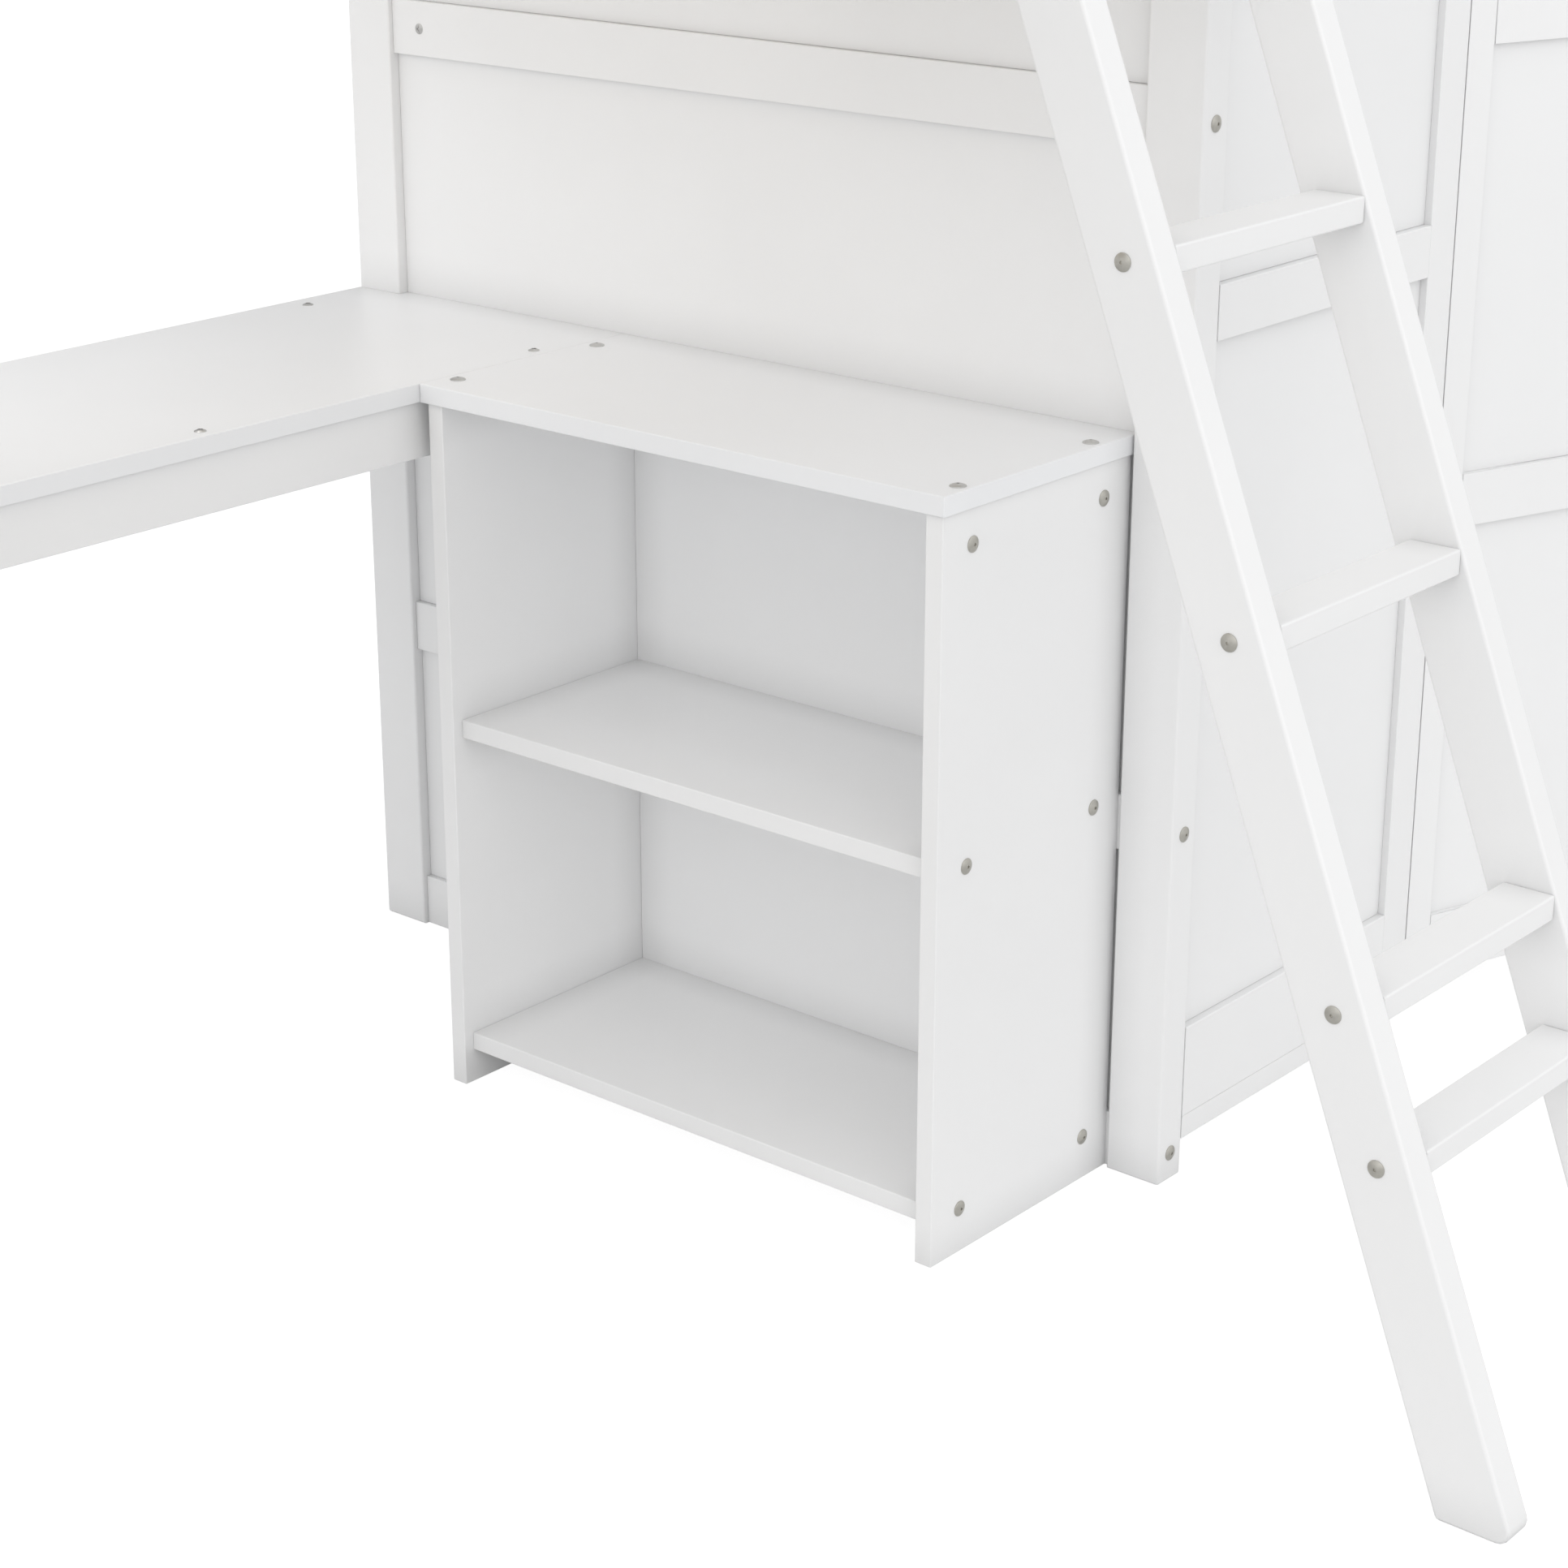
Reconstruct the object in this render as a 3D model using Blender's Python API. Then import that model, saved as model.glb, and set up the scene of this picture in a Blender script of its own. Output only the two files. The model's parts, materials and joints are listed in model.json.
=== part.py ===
"""Loft bed with a desk, an open bookcase, a leaning ladder and a wardrobe under the mattress deck.

Every board is its own object. Lengths are in metres and +Z is up. The origin is at the middle of the
footprint on the floor. -Y is the front, where the ladder leans, and the wardrobe stands at +X.
"""

import math

import bmesh
import bpy

# Driving dimensions
LENGTH = 2.130             # overall, left end to right end
WIDTH = 1.0465             # overall, bed front to bed back, without the ladder
DESK_BAY = 1.350           # left end to the partition that closes the desk bay
LADDER_REACH = 0.5478      # how far the ladder's feet stand in front of the bed
GAP = 0.0003               # between boards that touch

POST_T = 0.037             # posts: thickness along X
POST_W = 0.059             # posts: width along Y
POST_TOP = 1.700           # top of the four corner posts
BOARD = 0.0183             # thickness of the desk and bookcase boards
FRAME_T = 0.022            # thickness of the front and back rails, stile and door frame
RAIL_T = 0.025             # thickness of the rails that run from front to back
PANEL_T = 0.012            # thickness of the flat panels
RAIL_SETBACK = 0.0062      # cross rails sit this far behind the faces of their posts
PANEL_SETBACK = 0.0124     # panels sit this far behind the faces of their posts

DECK_LOW = 1.235           # bottom of the rails that carry the mattress deck
DECK_HIGH = 1.405          # top of the same rails
CLEAT_W = 0.025            # ledge on the inside of the long rails
CLEAT_LOW = 1.250
CLEAT_HIGH = 1.280
SLAT_COUNT = 12
SLAT_W = 0.070
SLAT_T = 0.018
SLAT_END_CLEAR = 0.008     # from the end posts to the first and last slat
TAPE_T = 0.002             # webbing that ties the slats together
TAPE_W = 0.030

GUARD_LOWER = (1.485, 1.545)    # bottom and top of the lower guard rails
GUARD_UPPER = (1.625, 1.685)    # bottom and top of the upper guard rails
GUARD_STILE = 0.045
ENTRY_CLEAR = 0.030        # from the ladder to the guards on either side of it

DESK_TOP = 0.7133          # height of the desk surface
DESK_DEPTH = 0.3680        # from the bed's back to the desk's front edge
APRON_H = 0.0550
APRON_SETBACK = 0.0062

CASE_Y = (0.0645, 0.6715)  # outer faces of the bookcase sides, from the bed's front
CASE_DEPTH = 0.2635
CASE_TOP_OVERHANG = 0.0035
CASE_SHELF_TOPS = (0.0530, 0.3833)
CASE_SHELF_SETBACK = 0.0118
CASE_BACK_T = 0.005

PARTITION_RAILS = {"bottom": (0.0, 0.0560), "middle": (0.3218, 0.3757), "upper": (0.9607, 1.0156)}

PLINTH = (0.0353, 0.0588)  # bottom and top of the wardrobe's floor board
BAY_RAIL_TOP = 0.1502      # top of the fixed bay's bottom rail
BAY_MIDDLE = (0.7989, 0.8485)
BAY_RECESS = 0.008         # panels sit this far behind the frame's front
STILE_X = (0.3948, 0.4406)      # from the partition's left face
HINGE_X = 0.4408
HEADER_LOW = 1.103
WARDROBE_LID = (1.2167, 1.2347)

DOOR_AJAR = 19.8           # degrees that the door stands open at rest
DOOR_LOW = 0.0620
DOOR_HIGH = 1.1000
DOOR_STILE = 0.0306
DOOR_RAILS = (0.1291, 0.5416, 0.5949, 1.0088)   # bottom rail top, middle rail, top rail bottom
DOOR_CLEAR = (0.0007, 0.0020)   # from the hinge axis to the door, and from the door to the post
DOOR_T = 0.020
JOINT_GROOVE = 0.0010      # width and depth of the grooves where the door's rails meet its stiles
DOOR_PANEL_T = 0.008
DOOR_PANEL_SETBACK = 0.006
KNOB_Z = 0.560
KNOB_R = 0.0145
KNOB_REACH = 0.0255        # how far the knob stands out of the door
HINGE_HEIGHTS = {"lower": 0.096, "upper": 1.054}
CUP_R = 0.013
CUP_DEPTH = 0.0105
CUP_BRIM = 0.0025          # how far the cup's rim reaches past its pocket
CUP_BRIM_T = 0.0015
CUP_OFFSET = 0.018         # from the hinge axis to the cup's centre
PLATE_X = (0.0140, 0.0010)      # from the fixed stile's edges to the hinge plate's
PLATE_H = 0.040
PLATE_T = 0.002
KNUCKLE = (0.012, 0.010, 0.016)     # the hinge arm's block on its plate, along X, Y and Z

ROD_R = 0.0125
ROD_Y = 0.400              # from the wardrobe's front
ROD_Z = 1.120

LADDER_LEFT = -0.3295      # outer face of the left ladder rail, from the partition's left face
LADDER_WIDTH = 0.3326
LADDER_RAIL_T = 0.0312
LADDER_HEEL = 0.4835       # from the bed's front to the back edge of the ladder's feet
LADDER_TOP = 1.365
FRONT_SLOPE = 0.3964       # run over rise of the rails' front edges
BACK_SLOPE = 0.3905        # and of their back edges, so that the rails narrow upwards
FOOT_RADIUS = 0.012
FOOT_STEPS = 4
RUNG_TOPS = (0.2920, 0.4073, 0.6810, 0.9544, 1.2279)
RUNG_T = 0.0223
RUNG_DEPTH = 0.0477

# Places worked out from the driving dimensions
X_LEFT = -LENGTH / 2
X_RIGHT = LENGTH / 2
X_PART = X_LEFT + DESK_BAY
Y_FRONT = (LADDER_REACH - WIDTH) / 2
Y_BACK = Y_FRONT + WIDTH
BETWEEN_POSTS_X = (X_LEFT + POST_T + GAP, X_RIGHT - POST_T - GAP)
BETWEEN_POSTS_Y = (Y_FRONT + POST_W + GAP, Y_BACK - POST_W - GAP)
WARDROBE_X = (X_PART + POST_T + GAP, X_RIGHT - POST_T - GAP)
WARDROBE_BACK_Y = Y_BACK - POST_W / 2 - PANEL_T / 2

PAINT = ("white_paint", (0.86, 0.86, 0.85), 0.45, 0.0)
PANEL = ("white_panel", (0.86, 0.86, 0.85), 0.50, 0.0)
TOP = ("white_top", (0.84, 0.84, 0.83), 0.38, 0.0)
PINE = ("bare_pine", (0.75, 0.60, 0.42), 0.65, 0.0)
STEEL = ("plated_steel", (0.62, 0.60, 0.56), 0.35, 1.0)


def material(finish, node):
    """A Principled material of the node's own, from (slot, colour, roughness, metallic)."""
    slot, colour, roughness, metallic = finish
    made = bpy.data.materials.new(slot + "." + node)
    made.use_nodes = True
    shader = made.node_tree.nodes["Principled BSDF"]
    shader.inputs["Base Color"].default_value = (*colour, 1.0)
    shader.inputs["Roughness"].default_value = roughness
    shader.inputs["Metallic"].default_value = metallic
    return made


def add_object(name, work, finish, place=(0.0, 0.0, 0.0)):
    """Turn a bmesh into a named object and free the bmesh."""
    mesh = bpy.data.meshes.new(name)
    bmesh.ops.recalc_face_normals(work, faces=work.faces)
    work.to_mesh(mesh)
    work.free()
    mesh.materials.append(material(finish, name))
    made = bpy.data.objects.new(name, mesh)
    made.location = place
    bpy.context.scene.collection.objects.link(made)
    return made


def cells(name, xs, ys, zs, solid, finish):
    """A body made of the filled cells of a grid; solid(i, j, k) says which cells are filled.

    The object's location is the grid's lowest corner.
    """
    work = bmesh.new()
    corners = {}
    counts = (len(xs) - 1, len(ys) - 1, len(zs) - 1)

    def corner(i, j, k):
        if (i, j, k) not in corners:
            corners[i, j, k] = work.verts.new((xs[i] - xs[0], ys[j] - ys[0], zs[k] - zs[0]))
        return corners[i, j, k]

    def filled(cell):
        inside = all(0 <= n < count for n, count in zip(cell, counts))
        return inside and solid(*cell)

    def add_face(cell, axis, side):
        first, second = (axis + 1) % 3, (axis + 2) % 3
        ring = []
        for a, b in ((0, 0), (1, 0), (1, 1), (0, 1)):
            spot = list(cell)
            spot[axis] += side
            spot[first] += a
            spot[second] += b
            ring.append(corner(*spot))
        work.faces.new(ring if side else ring[::-1])

    for i in range(counts[0]):
        for j in range(counts[1]):
            for k in range(counts[2]):
                if not filled((i, j, k)):
                    continue
                for axis in range(3):
                    for side in (0, 1):
                        neighbour = [i, j, k]
                        neighbour[axis] += 2 * side - 1
                        if not filled(neighbour):
                            add_face((i, j, k), axis, side)
    bmesh.ops.dissolve_limit(work, angle_limit=math.radians(1), verts=work.verts, edges=work.edges)
    return add_object(name, work, finish, (xs[0], ys[0], zs[0]))


def board(name, x, y, z, finish=PAINT):
    """A plain board between two places on each axis."""
    return cells(name, x, y, z, lambda i, j, k: True, finish)


def extrude_x(name, outline, x, finish=PAINT):
    """A closed (y, z) outline carried from x[0] to x[1]."""
    work = bmesh.new()
    face = work.faces.new([work.verts.new((0.0, y, z)) for y, z in outline])
    grown = bmesh.ops.extrude_face_region(work, geom=[face])
    moved = [item for item in grown["geom"] if isinstance(item, bmesh.types.BMVert)]
    bmesh.ops.translate(work, verts=moved, vec=(x[1] - x[0], 0.0, 0.0))
    return add_object(name, work, finish, (x[0], 0.0, 0.0))


def turned(name, profile, place, axis, finish=STEEL, sides=32):
    """A closed (radius, height) profile turned about the local Z axis, then aimed along axis."""
    work = bmesh.new()
    rings = []
    for radius, height in profile:
        ring = []
        for n in range(sides if radius else 1):
            angle = 2 * math.pi * n / sides
            ring.append(work.verts.new((radius * math.cos(angle), radius * math.sin(angle), height)))
        rings.append(ring)
    for low, high in zip(rings, rings[1:]):
        for n in range(sides):
            bottom = [low[n % len(low)], low[(n + 1) % len(low)]]
            top = [high[(n + 1) % len(high)], high[n % len(high)]]
            work.faces.new(list(dict.fromkeys(bottom + top)))
    made = add_object(name, work, finish, place)
    made.rotation_euler = axis
    made.data.shade_smooth()
    made.data.set_sharp_from_angle(angle=math.radians(35))
    return made


def build_posts():
    ends = {"left": X_LEFT, "right": X_RIGHT - POST_T}
    sides = {"front": Y_FRONT, "back": Y_BACK - POST_W}
    for end, x in ends.items():
        for side, y in sides.items():
            board(f"post_{end}_{side}", (x, x + POST_T), (y, y + POST_W), (0.0, POST_TOP))
    for side, y in sides.items():
        top = WARDROBE_LID[0] - GAP
        board(f"partition_post_{side}", (X_PART, X_PART + POST_T), (y, y + POST_W), (0.0, top))


def build_partition():
    rail_x = (X_PART + RAIL_SETBACK, X_PART + RAIL_SETBACK + RAIL_T)
    panel_x = (X_PART + PANEL_SETBACK, X_PART + PANEL_SETBACK + PANEL_T)
    for name, z in PARTITION_RAILS.items():
        board(f"partition_rail_{name}", rail_x, BETWEEN_POSTS_Y, z)
    heights = {
        "lower": (PARTITION_RAILS["bottom"][1], PARTITION_RAILS["middle"][0]),
        "middle": (PARTITION_RAILS["middle"][1], PARTITION_RAILS["upper"][0]),
        "upper": (PARTITION_RAILS["upper"][1], WARDROBE_LID[0]),
    }
    for name, (low, high) in heights.items():
        board(f"partition_panel_{name}", panel_x, BETWEEN_POSTS_Y, (low + GAP, high - GAP), PANEL)


def build_wardrobe():
    face = (Y_FRONT, Y_FRONT + FRAME_T)
    recess = (Y_FRONT + BAY_RECESS, Y_FRONT + BAY_RECESS + PANEL_T)
    stile = (X_PART + STILE_X[0], X_PART + STILE_X[1])
    bay = (WARDROBE_X[0], stile[0] - GAP)
    frame_low = PLINTH[1] + GAP

    board("wardrobe_floor", WARDROBE_X, (Y_FRONT, WARDROBE_BACK_Y - GAP), PLINTH)
    board("wardrobe_rail_bottom", bay, face, (frame_low, BAY_RAIL_TOP))
    board("wardrobe_rail_middle", bay, face, BAY_MIDDLE)
    board("wardrobe_header", WARDROBE_X, face, (HEADER_LOW, WARDROBE_LID[0] - GAP))
    board("wardrobe_stile", stile, face, (frame_low, HEADER_LOW - GAP))
    board("wardrobe_panel_lower", bay, recess, (BAY_RAIL_TOP + GAP, BAY_MIDDLE[0] - GAP), PANEL)
    board("wardrobe_panel_upper", bay, recess, (BAY_MIDDLE[1] + GAP, HEADER_LOW - GAP), PANEL)

    back = (WARDROBE_BACK_Y, WARDROBE_BACK_Y + PANEL_T)
    board("wardrobe_back", WARDROBE_X, back, (PLINTH[0], WARDROBE_LID[0] - GAP), PANEL)
    board("wardrobe_lid", (X_PART, WARDROBE_X[1]), (Y_FRONT, Y_BACK), WARDROBE_LID)

    rail_x = (X_RIGHT - RAIL_SETBACK - RAIL_T, X_RIGHT - RAIL_SETBACK)
    panel_x = (X_RIGHT - PANEL_SETBACK - PANEL_T, X_RIGHT - PANEL_SETBACK)
    board("end_right_rail_bottom", rail_x, BETWEEN_POSTS_Y, PARTITION_RAILS["bottom"])
    panel_z = (PARTITION_RAILS["bottom"][1] + GAP, DECK_LOW - GAP)
    board("end_right_panel", panel_x, BETWEEN_POSTS_Y, panel_z, PANEL)

    rod_from = X_PART + PANEL_SETBACK + PANEL_T + GAP
    rod_length = panel_x[0] - GAP - rod_from
    rod = [(0.0, 0.0), (ROD_R, 0.0), (ROD_R, rod_length), (0.0, rod_length)]
    turned("wardrobe_rod", rod, (rod_from, Y_FRONT + ROD_Y, ROD_Z), (0.0, math.pi / 2, 0.0))


def build_door():
    """The door is modelled closed, then its pivot turns it ajar."""
    pivot = bpy.data.objects.new("door_pivot", None)
    pivot.location = (X_PART + HINGE_X, Y_FRONT, 0.0)
    bpy.context.scene.collection.objects.link(pivot)

    left = DOOR_CLEAR[0]
    right = X_RIGHT - POST_T - DOOR_CLEAR[1] - (X_PART + HINGE_X)
    inner = (left + DOOR_STILE, right - DOOR_STILE)
    columns = (left, inner[0], inner[0] + JOINT_GROOVE, inner[1] - JOINT_GROOVE, inner[1], right)
    layers = (0.0, JOINT_GROOVE, DOOR_T)
    rows = (DOOR_LOW, *DOOR_RAILS, DOOR_HIGH)

    def solid(i, j, k):
        stile = i in (0, 4)
        rail = k % 2 == 0
        groove = i in (1, 3) and j == 0
        return stile or (rail and not groove)

    frame = cells("door_frame", columns, layers, rows, solid, PAINT)
    panel_x = (inner[0] + GAP, inner[1] - GAP)
    panel_y = (DOOR_PANEL_SETBACK, DOOR_PANEL_SETBACK + DOOR_PANEL_T)
    windows = {"lower": DOOR_RAILS[0:2], "upper": DOOR_RAILS[2:4]}
    pieces = [frame]
    for name, (low, high) in windows.items():
        z = (low + GAP, high - GAP)
        pieces.append(board(f"door_panel_{name}", panel_x, panel_y, z, PANEL))

    knob_place = (right - DOOR_STILE / 2, -GAP, KNOB_Z)
    pieces.append(turned("door_knob", knob_profile(), knob_place, (math.pi / 2, 0.0, 0.0)))

    for name, z in HINGE_HEIGHTS.items():
        pocket = add_cup_pocket(frame, name, z)
        cup = build_cup(name, z)
        pieces.extend((pocket, cup))
    for piece in pieces:
        piece.parent = pivot
    pivot.rotation_euler = (0.0, 0.0, -math.radians(DOOR_AJAR))


def knob_profile():
    """A waisted neck that opens into a flattened ball."""
    neck = KNOB_R * 0.45
    middle = KNOB_REACH * 0.72
    ball = KNOB_REACH - middle
    profile = [(0.0, 0.0), (neck, 0.0), (neck * 0.9, KNOB_REACH * 0.35)]
    for n in range(9):
        angle = math.radians(-60 + 150 * n / 8)
        radius = KNOB_R * math.cos(angle) if n < 8 else 0.0
        profile.append((radius, middle + ball * math.sin(angle)))
    return profile


def add_cup_pocket(frame, name, z):
    """Bore a hinge cup's pocket into the back of the door frame."""
    radius = CUP_R + GAP
    depth = CUP_DEPTH + GAP
    profile = [(0.0, 0.0), (radius, 0.0), (radius, depth * 2), (0.0, depth * 2)]
    place = (CUP_OFFSET, DOOR_T + depth, z)
    cutter = turned(f"pocket_{name}", profile, place, (math.pi / 2, 0.0, 0.0))
    cutter.hide_render = True
    cutter.display_type = "WIRE"
    cut = frame.modifiers.new(f"pocket_{name}", "BOOLEAN")
    cut.operation = "DIFFERENCE"
    cut.object = cutter
    return cutter


def build_cup(name, z):
    """A concealed hinge's cup with its mounting flange, let into the door."""
    brim = CUP_R + CUP_BRIM
    bottom = CUP_BRIM_T + CUP_DEPTH
    rim = [(0.0, 0.0), (brim, 0.0), (brim, CUP_BRIM_T), (CUP_R, CUP_BRIM_T)]
    profile = [*rim, (CUP_R, bottom), (0.0, bottom)]
    place = (CUP_OFFSET, DOOR_T + CUP_BRIM_T + GAP, z)
    return turned(f"hinge_cup_{name}", profile, place, (math.pi / 2, 0.0, 0.0))


def build_hinge_plates():
    """The hinge arms' plates, screwed to the back of the fixed stile."""
    left = X_PART + STILE_X[0] + PLATE_X[0]
    right = X_PART + STILE_X[1] - PLATE_X[1]
    back = Y_FRONT + FRAME_T + GAP
    for name, z in HINGE_HEIGHTS.items():
        xs = (left, right - KNUCKLE[0], right)
        ys = (back, back + PLATE_T, back + PLATE_T + KNUCKLE[1])
        zs = (z - PLATE_H / 2, z - KNUCKLE[2] / 2, z + KNUCKLE[2] / 2, z + PLATE_H / 2)
        cells(f"hinge_plate_{name}", xs, ys, zs, lambda i, j, k: j == 0 or (i == 1 and k == 1), STEEL)


def build_deck():
    rows = (DECK_LOW, CLEAT_LOW, CLEAT_HIGH, DECK_HIGH)
    sides = {
        "front": ((Y_FRONT, Y_FRONT + FRAME_T, Y_FRONT + FRAME_T + CLEAT_W), 0),
        "back": ((Y_BACK - FRAME_T - CLEAT_W, Y_BACK - FRAME_T, Y_BACK), 1),
    }
    for name, (ys, rail) in sides.items():
        cells(f"side_rail_{name}", BETWEEN_POSTS_X, ys, rows,
              lambda i, j, k, rail=rail: j == rail or k == 1, PAINT)
    ends = {"left": X_LEFT + RAIL_SETBACK, "right": X_RIGHT - RAIL_SETBACK - RAIL_T}
    for name, x in ends.items():
        board(f"end_rail_{name}", (x, x + RAIL_T), BETWEEN_POSTS_Y, (DECK_LOW, DECK_HIGH))

    first = BETWEEN_POSTS_X[0] + SLAT_END_CLEAR
    pitch = (BETWEEN_POSTS_X[1] - SLAT_END_CLEAR - SLAT_W - first) / (SLAT_COUNT - 1)
    xs = [first + pitch * (n // 2) + SLAT_W * (n % 2) for n in range(SLAT_COUNT * 2)]
    low = Y_FRONT + FRAME_T + 0.002
    high = Y_BACK - FRAME_T - 0.002
    quarter = (high - low) / 4
    ys = (low, low + quarter, low + quarter + TAPE_W, high - quarter - TAPE_W, high - quarter, high)
    zs = (CLEAT_HIGH + GAP, CLEAT_HIGH + GAP + TAPE_T, CLEAT_HIGH + GAP + TAPE_T + SLAT_T)
    cells("slat_roll", xs, ys, zs, lambda i, j, k: i % 2 == 0 or (k == 0 and j in (1, 3)), PINE)


def guard(name, along, across, stiles):
    """Two guard rails and their stiles as one glued frame; along holds (axis, low, high)."""
    axis, low, high = along
    cuts = [low]
    for place in stiles:
        cuts += [place, place + GUARD_STILE]
    cuts = sorted(set(cuts + [high]))
    spans = [any(abs(cut - place) < GAP for place in stiles) for cut in cuts[:-1]]
    rows = (DECK_HIGH + GAP, *GUARD_LOWER, *GUARD_UPPER)
    thick = (across, across + FRAME_T)
    if axis == "x":
        cells(name, cuts, thick, rows, lambda i, j, k: spans[i] or k % 2 == 1, PAINT)
    else:
        cells(name, thick, cuts, rows, lambda i, j, k: spans[j] or k % 2 == 1, PAINT)


def build_guards():
    left, right = BETWEEN_POSTS_X
    near, far = BETWEEN_POSTS_Y
    entry = (X_PART + LADDER_LEFT - ENTRY_CLEAR, X_PART + LADDER_LEFT + LADDER_WIDTH + ENTRY_CLEAR)
    guard("guard_front_left", ("x", left, entry[0]), Y_FRONT, (left, entry[0] - GUARD_STILE))
    guard("guard_front_right", ("x", entry[1], right), Y_FRONT, (entry[1], right - GUARD_STILE))
    third = (right - GUARD_STILE - left) / 3
    guard("guard_back", ("x", left, right), Y_BACK - FRAME_T, [left + third * n for n in range(4)])
    end_stiles = (near, (near + far - GUARD_STILE) / 2, far - GUARD_STILE)
    inset = (POST_T - FRAME_T) / 2
    guard("guard_left", ("y", near, far), X_LEFT + inset, end_stiles)
    guard("guard_right", ("y", near, far), X_RIGHT - inset - FRAME_T, end_stiles)


def build_desk():
    """The top reaches into the recess of both end frames, so it is notched round the back posts."""
    top_z = (DESK_TOP - BOARD, DESK_TOP)
    front = Y_BACK - DESK_DEPTH
    support_x = (X_LEFT + RAIL_SETBACK, X_LEFT + RAIL_SETBACK + RAIL_T)
    xs = (support_x[0], BETWEEN_POSTS_X[0], X_PART - GAP, X_PART + PANEL_SETBACK - GAP)
    ys = (front, BETWEEN_POSTS_Y[1], Y_BACK)
    cells("desk_top", xs, ys, top_z, lambda i, j, k: i == 1 or j == 0, TOP)

    apron_z = (top_z[0] - APRON_H, top_z[0] - GAP)
    board("desk_support_rail", support_x, BETWEEN_POSTS_Y, apron_z)
    apron_x = (support_x[1] + GAP, X_PART - GAP)
    apron_y = front + APRON_SETBACK
    board("desk_apron_front", apron_x, (apron_y, apron_y + BOARD), apron_z)
    back_x = (BETWEEN_POSTS_X[0], X_PART - GAP)
    back_y = Y_BACK - APRON_SETBACK - BOARD
    board("desk_apron_back", back_x, (back_y, back_y + BOARD), apron_z)
    board("end_left_rail_bottom", support_x, BETWEEN_POSTS_Y, PARTITION_RAILS["bottom"])


def build_bookcase():
    near = Y_FRONT + CASE_Y[0]
    far = Y_FRONT + CASE_Y[1]
    front = X_PART - CASE_DEPTH
    under_top = DESK_TOP - BOARD - GAP
    side_x = (front, X_PART + RAIL_SETBACK - GAP)
    board("bookcase_side_right", side_x, (near, near + BOARD), (0.0, under_top))
    board("bookcase_side_left", side_x, (far - BOARD, far), (0.0, under_top))

    inside = (near + BOARD + GAP, far - BOARD - GAP)
    back_x = (X_PART - CASE_BACK_T / 2, X_PART + CASE_BACK_T / 2)
    shelf_x = (front + CASE_SHELF_SETBACK, back_x[0] - GAP)
    for name, top in zip(("bookcase_bottom", "bookcase_shelf"), CASE_SHELF_TOPS):
        board(name, shelf_x, inside, (top - BOARD, top))
    board("bookcase_back", back_x, inside, (CASE_SHELF_TOPS[0] - BOARD, under_top), PANEL)

    top_x = (front - CASE_TOP_OVERHANG, X_PART + PANEL_SETBACK - GAP)
    top_y = (near - CASE_TOP_OVERHANG, Y_BACK - DESK_DEPTH - GAP)
    board("bookcase_top", top_x, top_y, (DESK_TOP - BOARD, DESK_TOP), TOP)


def ladder_outline(toe):
    """Side view of a ladder rail: a rounded toe on the floor, and a vertical cut against the bed."""
    heel = Y_FRONT - LADDER_HEEL
    wall = Y_FRONT - GAP
    angles = [-math.pi / 2 * (1 + n / FOOT_STEPS) for n in range(FOOT_STEPS + 1)]
    angles.append(-math.pi - math.atan(FRONT_SLOPE))
    centre = Y_FRONT - LADDER_REACH + FOOT_RADIUS
    arc = [(centre + FOOT_RADIUS * math.cos(a), FOOT_RADIUS * (1 + math.sin(a))) for a in angles]
    top_front = (toe + FRONT_SLOPE * LADDER_TOP, LADDER_TOP)
    return [(heel, 0.0), *arc, top_front, (wall, LADDER_TOP), (wall, (wall - heel) / BACK_SLOPE)]


def build_ladder():
    """The rails' front edges would meet the floor at the toe if their feet weren't rounded."""
    corner = math.pi / 2 - math.atan(FRONT_SLOPE)
    toe = Y_FRONT - LADDER_REACH + FOOT_RADIUS * (1 - 1 / math.tan(corner / 2))
    outline = ladder_outline(toe)
    left = X_PART + LADDER_LEFT
    right = left + LADDER_WIDTH
    extrude_x("ladder_rail_left", outline, (left, left + LADDER_RAIL_T))
    extrude_x("ladder_rail_right", outline, (right - LADDER_RAIL_T, right))
    rung_x = (left + LADDER_RAIL_T + GAP, right - LADDER_RAIL_T - GAP)
    for n, top in enumerate(RUNG_TOPS, start=1):
        front = toe + FRONT_SLOPE * top
        board(f"ladder_rung_{n}", rung_x, (front, front + RUNG_DEPTH), (top - RUNG_T, top))


for old in list(bpy.data.objects):
    bpy.data.objects.remove(old)
build_posts()
build_partition()
build_wardrobe()
build_door()
build_hinge_plates()
build_deck()
build_guards()
build_desk()
build_bookcase()
build_ladder()
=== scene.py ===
"""Looks for the loft bed with a desk: rounded painted boards, fittings, floor, light and camera.

Lengths are in metres, in the same frame as the CAD. Places are worked out from the CAD's boxes and hinge.
"""

import json
import math

import bmesh
import bpy
from mathutils import Matrix, Vector


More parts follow.
